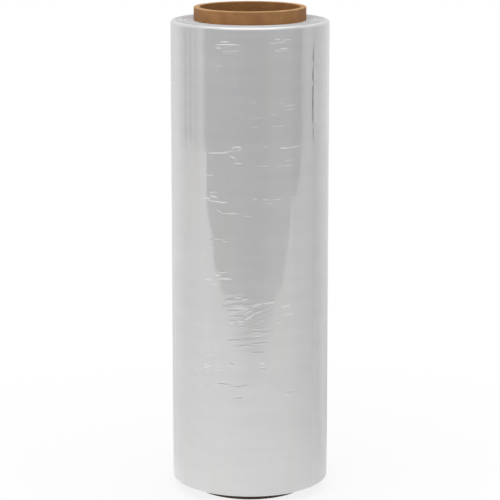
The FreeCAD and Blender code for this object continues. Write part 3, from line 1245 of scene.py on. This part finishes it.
@dataclass
class Studio:
    """White floor and surround, soft lamps, and the greys that the film's shine shows.

    Greys are given by stops: a bearing in degrees, or a height in metres, and how bright the
    surround is there, where 1 is white. The floor has greys beside the roll and away from it, and
    a darker patch before it. One card stands in front, two far to the sides with a gap between
    them, and a bright band high up. Lengths are in metres.
    """

    roll: Roll
    points_round: int = 96
    floor_radius: float = 9.0
    floor_drop: float = 0.00005
    floor_white: str = "#f4f4f4"
    near_white: float = 0.84
    white_from: float = 0.07
    white_to: float = 0.40
    sky: float = 0.70
    beside: float = 0.11
    beside_greys: Stops = (
        (-168, 0.32), (-151, 0.68), (-140, 0.77), (-128, 0.83), (-110, 0.93), (-89, 1.04),
        (-70, 1.12), (-37, 1.24), (0, 1.18), (45, 1.18), (68, 1.02), (87, 0.88), (103, 0.80),
        (112, 0.74), (130, 0.74), (142, 0.62), (158, 0.30))
    away_greys: Stops = (
        (-160, 0.78), (-142, 0.83), (-123, 0.82), (-107, 0.70), (-93, 0.70), (-81, 0.72),
        (-72, 0.80), (60, 0.78), (67, 0.66), (85, 0.63), (100, 0.55), (108, 0.52), (114, 0.58),
        (123, 0.70), (134, 0.74), (161, 0.78))
    shade_middle: tuple[float, float] = (0.05, -0.70)
    shade_squeeze: float = 0.62
    shade_reach: tuple[float, float] = (0.05, 0.33)
    shade_greys: tuple[float, float] = (0.32, 1.05)
    front_distance: float = 0.67
    front_height: float = 0.62
    front_foot: Stops = (
        (-63, 0.108), (-58.5, 0.097), (-53.7, 0.087), (-52.3, 0.056), (-46, 0.043), (-43, 0.034),
        (-39, 0.024), (-30, 0.019), (-13, 0.016), (26, 0.016), (36, 0.020), (45, 0.032),
        (49.3, 0.048), (54, 0.069), (57.3, 0.084), (59, 0.113), (70, 0.125), (75.5, 0.150))
    front_greys: Stops = (
        (-63, 0.0), (-46, 0.04), (-35, 0.07), (12, 0.04), (26, 0.16), (38, 0.23), (57, 0.26),
        (65, 0.17), (75, 0.13))
    front_rise: Stops = ((0.0, 0.16), (0.10, 0.10), (0.20, 0.0), (0.50, 0.0), (0.62, 0.8))
    far_distance: float = 0.8
    far_height: float = 0.45
    far_foot: float = 0.150
    far_gap: tuple[float, float] = (-62, 75.5)
    band_distance: float = 1.4
    band_bearings: tuple[float, float] = (-52, 50)
    band_heights: tuple[float, float] = (0.95, 2.40)
    band_glow: float = 1.6
    far_greys: Stops = (
        (-158.5, 0.76), (-144.5, 0.79), (-133.5, 0.83), (-127.5, 0.84), (-119.5, 0.74),
        (-110.5, 0.54), (-106.5, 0.46), (-103.5, 0.05), (-100.5, 0.44), (-96.5, 0.46),
        (-93.5, 0.02), (-89.5, 0.44), (-86.5, 0.48), (-83.5, 0.22), (-79.5, 0.42), (-72.5, 0.56),
        (-69.5, 0.45), (-66.5, 0.15), (-62.5, 0.0), (72.5, 0.12), (77.5, 0.25), (81.5, 0.53),
        (86.5, 0.54), (92.5, 0.62), (97.5, 0.52), (104.5, 0.48), (110.5, 0.55), (118.5, 0.66),
        (128.5, 0.77), (140.5, 0.80), (153.5, 0.90))
    lamps: tuple[Lamp, ...] = (
        Lamp("top_lamp", (0.0, 0.05, 1.42), (1.2, 1.4), 1.45, in_shine=True),
        Lamp("front_lamp", (-0.25, -1.2, 1.45), (0.9, 0.7), 2.2),
        Lamp("left_lamp", (-1.45, -0.75, 0.45), (0.8, 0.8), 1.8),
        Lamp("right_lamp", (1.7, -0.35, 0.75), (0.8, 1.0), 0.7))
    camera_place: tuple[float, float, float] = (0.0, -1.687, 0.5391)
    camera_dip: float = 11.81
    lens: float = 161.8
    view_end: float = 60.0

    def graded(self, tree: NodeTree, value: NodeSocket, stops: Stops, low: float,
               high: float) -> NodeSocket:
        """Turn a value into a brightness, by stops between its least and greatest values."""
        share = add_node(tree, "ShaderNodeMapRange", {0: value, 1: low, 2: high})
        ramp = add_node(tree, "ShaderNodeValToRGB", {0: share})
        points = ramp.color_ramp.elements
        while len(points) < len(stops):
            points.new(1.0)
        for point, (place, grey) in zip(points, stops):
            point.position = (place - low) / (high - low)
            point.color = (grey, grey, grey, 1)
        return ramp.outputs[0]

    def bearing_of(self, tree: NodeTree) -> NodeSocket:
        """Give the bearing of a place from the roll's axis, in degrees from -180 to 180."""
        parts = add_node(tree, "ShaderNodeSeparateXYZ", {
            0: add_node(tree, "ShaderNodeTexCoord").outputs["Object"]}).outputs
        south = add_node(tree, "ShaderNodeMath", {0: parts[1], 1: -1.0}, operation="MULTIPLY")
        angle = add_node(tree, "ShaderNodeMath", {0: parts[0], 1: south}, operation="ARCTAN2")
        return add_node(tree, "ShaderNodeMath", {0: angle}, operation="DEGREES").outputs[0]

    def floor_glow(self, tree: NodeTree, place: NodeSocket, away: NodeSocket) -> NodeSocket:
        """Give how bright the floor is in the film's shine: less far away, behind, and in a patch.

        Args:
            tree: The floor's tree.
            place: The place on the floor, in metres.
            away: Its distance from the roll's axis, in metres.

        Returns:
            The brightness.
        """
        nearness = add_node(tree, "ShaderNodeMath", {0: away, 1: self.beside},
                            operation="LOGARITHM")
        bearing = self.bearing_of(tree)
        lit = add_node(tree, "ShaderNodeMix", {
            0: nearness, 2: self.graded(tree, bearing, self.away_greys, -180, 180),
            3: self.graded(tree, bearing, self.beside_greys, -180, 180)})
        around = add_node(tree, "ShaderNodeVectorMath", {
            0: place, 1: (-self.shade_middle[0], -self.shade_middle[1], 0)}, operation="ADD")
        around = add_node(tree, "ShaderNodeVectorMath", {
            0: around, 1: (self.shade_squeeze, 1, 0)}, operation="MULTIPLY")
        off = add_node(tree, "ShaderNodeVectorMath", {0: around}, operation="LENGTH")
        shaded = add_node(tree, "ShaderNodeMapRange", {
            0: off.outputs["Value"], 1: self.shade_reach[0], 2: self.shade_reach[1],
            3: self.shade_greys[0], 4: self.shade_greys[1]})
        bright = add_node(tree, "ShaderNodeMath", {
            0: off.outputs["Value"], 1: self.shade_reach[1]}, operation="GREATER_THAN")
        kept = add_node(tree, "ShaderNodeMath", {0: shaded, 1: bright}, operation="ADD")
        return add_node(tree, "ShaderNodeMath", {0: lit, 1: kept}, operation="MINIMUM").outputs[0]

    def floor(self) -> Object:
        """Make a pale floor that keeps the roll's shadow and shines white in the film."""
        made, tree = new_material("studio_floor")
        rays = add_node(tree, "ShaderNodeLightPath").outputs
        place = add_node(tree, "ShaderNodeTexCoord").outputs["Object"]
        length = add_node(tree, "ShaderNodeVectorMath", {0: place}, operation="LENGTH")
        away = length.outputs["Value"]
        white_share = add_node(tree, "ShaderNodeMapRange", {
            0: away, 1: self.white_from, 2: self.white_to, 3: self.near_white, 4: 1.0})
        seen = add_node(tree, "ShaderNodeMath", {0: rays["Is Camera Ray"], 1: white_share},
                        operation="MULTIPLY")
        shine = add_node(tree, "ShaderNodeMath", {
            0: rays["Is Glossy Ray"], 1: rays["Is Transmission Ray"]}, operation="MAXIMUM")
        share = add_node(tree, "ShaderNodeMath", {0: seen, 1: shine}, operation="MAXIMUM")
        cloth = add_node(tree, "ShaderNodeBsdfDiffuse", {0: linear(self.floor_white)})
        strength = add_node(tree, "ShaderNodeMix", {
            0: shine, 2: 1.0, 3: self.floor_glow(tree, place, away)})
        white = add_node(tree, "ShaderNodeEmission", {"Strength": strength})
        both = add_node(tree, "ShaderNodeMixShader", {0: share, 1: cloth, 2: white})
        add_node(tree, "ShaderNodeOutputMaterial", {0: both})
        angle = np.linspace(0, math.tau, self.points_round, endpoint=False)
        rim = np.stack([np.cos(angle), np.sin(angle), 0 * angle], -1) * self.floor_radius
        rim[:, 2] = -self.floor_drop
        piece = mesh_piece("floor", rim / MM, np.arange(self.points_round)[None, :], [made])
        return piece

    def surround(self) -> None:
        """Light the roll from all round, and show plain white behind it and in its shine."""
        world = bpy.data.worlds.new("studio")
        bpy.context.scene.world = world
        world.use_nodes = True
        tree = world.node_tree
        tree.nodes.clear()
        rays = add_node(tree, "ShaderNodeLightPath").outputs
        shown = add_node(tree, "ShaderNodeMath", {
            0: rays["Is Camera Ray"], 1: rays["Is Glossy Ray"]}, operation="MAXIMUM")
        shown = add_node(tree, "ShaderNodeMath", {
            0: shown, 1: rays["Is Transmission Ray"]}, operation="MAXIMUM")
        light = add_node(tree, "ShaderNodeBackground", {"Strength": self.sky})
        white = add_node(tree, "ShaderNodeBackground", {"Strength": 1.0})
        both = add_node(tree, "ShaderNodeMixShader", {0: shown, 1: light, 2: white})
        add_node(tree, "ShaderNodeOutputWorld", {0: both})

    def card(self, name: str, distance: float, height: float, foot: Stops, greys: Stops,
             rise: Stops = ((0, 0), (1, 0))) -> None:
        """Stand a curved card round the roll, which only the film's shine shows.

        Args:
            name: The card's name.
            distance: How far it stands from the roll's axis, in metres.
            height: How high its upper edge is, in metres.
            foot: Heights of its lower edge in metres, by bearing.
            greys: How bright it is, by bearing.
            rise: What is added to that, by height.
        """
        made, tree = new_material(name)
        parts = add_node(tree, "ShaderNodeSeparateXYZ", {
            0: add_node(tree, "ShaderNodeTexCoord").outputs["Object"]}).outputs
        bright = add_node(tree, "ShaderNodeMath", {
            0: self.graded(tree, self.bearing_of(tree), greys, -180, 180),
            1: self.graded(tree, parts[2], rise, 0, 1)}, operation="ADD")
        glow = add_node(tree, "ShaderNodeEmission", {"Strength": bright})
        add_node(tree, "ShaderNodeOutputMaterial", {0: glow})
        turns, lifts = zip(*foot)
        bearing = np.linspace(turns[0], turns[-1], self.points_round)
        lowest = np.interp(bearing, turns, lifts)
        east, south = direction(np.radians(bearing))
        lower = np.stack([distance * east, distance * south, lowest], -1)
        upper = np.stack([distance * east, distance * south, 0 * lowest + height], -1)
        number = np.arange(2 * self.points_round).reshape(2, -1)
        points = np.concatenate([lower, upper]) / MM
        piece = mesh_piece(name, points, grid_quads(number), [made])
        for ray in ("camera", "diffuse", "transmission", "volume_scatter", "shadow"):
            setattr(piece, "visible_" + ray, False)

    def hang(self, lamp: Lamp) -> None:
        """Hang a lamp and turn it to the middle of the roll."""
        data = bpy.data.lights.new(lamp.name, "AREA")
        data.shape = "RECTANGLE"
        data.size, data.size_y = lamp.size
        data.energy = lamp.brightness * math.pi * lamp.size[0] * lamp.size[1]
        hung = bpy.data.objects.new(lamp.name, data)
        hung.location = lamp.place
        hung.visible_glossy = lamp.in_shine
        east, north, up = lamp.place
        up -= self.roll.tube_length * MM / 2
        hung.rotation_euler = (math.atan2(math.hypot(east, north), up), 0,
                               math.atan2(east, -north))
        bpy.context.scene.collection.objects.link(hung)

    def camera(self) -> None:
        """Stand the camera at the photograph's place: before the front, looking a little down."""
        data = bpy.data.cameras.new("camera")
        data.lens = self.lens
        data.clip_end = self.view_end
        camera = bpy.data.objects.new("camera", data)
        camera.location = self.camera_place
        camera.rotation_euler = (math.radians(90 - self.camera_dip), 0.0, 0.0)
        bpy.context.scene.collection.objects.link(camera)
        bpy.context.scene.camera = camera

    def build(self) -> None:
        """Set up the floor, the surround, the cards, the lamps and the camera."""
        self.floor()
        self.surround()
        self.card("front_card", self.front_distance, self.front_height, self.front_foot,
                  self.front_greys, self.front_rise)
        band = tuple((bearing, self.band_heights[0]) for bearing in self.band_bearings)
        glow = tuple((bearing, self.band_glow) for bearing in self.band_bearings)
        self.card("band_card", self.band_distance, self.band_heights[1], band, glow)
        left = (self.far_greys[0][0], self.far_gap[0])
        right = (self.far_gap[1], self.far_greys[-1][0])
        for name, bearings in (("left_card", left), ("right_card", right)):
            foot = tuple((bearing, self.far_foot) for bearing in bearings)
            self.card(name, self.far_distance, self.far_height, foot, self.far_greys)
        for lamp in self.lamps:
            self.hang(lamp)
        self.camera()
        bpy.context.scene.view_settings.view_transform = "Standard"


def main() -> None:
    """Build the roll's pieces in order, then the studio."""
    logging.basicConfig(level=logging.INFO, format="%(message)s")
    roll = Roll.from_frame()
    wound = {"tail_bearing": roll.tail_bearing, "radius": roll.film_radius}
    cling = ClingFilm(**wound).material()
    edges = FilmEdges().material()
    wall = CoreBoard().material()
    # Inside the tube the board is drawn darker, as painted shade for the bore, and more saturated;
    # the saw left its ends paler.
    inside = CoreBoard(name="core_bore_board", brown="#9d6a33", dark="#845729",
                       pale="#b48450").material()
    cut = CoreBoard(name="core_cut_board", brown="#c29868", dark="#a87e50", pale="#dcb98e",
                    fibre_along=0.8, roughness=0.85).material()
    # A hard fold is drawn in a whiter copy of the film: painted highlight for the shine of its
    # flanks, with the paleness that stretching gives the film.
    highlit_whitened = ClingFilm(name="creased_cling_film", milk="#dadadc", haze="#e2e2e3",
                         warm="#dcdbd8", **wound).material()
    film = WoundFilm(roll).build(cling, edges)
    pieces = [film, FreeEnd(roll).build(cling),
              CreaseField(roll, "hard_creases", HARD_FOLDS, flank=1.9).build(film, highlit_whitened),
              CreaseField(roll, "soft_creases", SOFT_FOLDS, flank=4.8, hidden_scale=0.7,
                          seed=29).build(film, cling)]
    pieces += [TurnEdges(roll, end).build(film, edges) for end in End]
    pieces.append(PaperTube(roll).build(wall, inside, cut))
    for piece in pieces:
        log.info("%s: %d faces", piece.name, len(piece.data.polygons))

    Studio(roll).build()


if __name__ == "__main__":
    main()
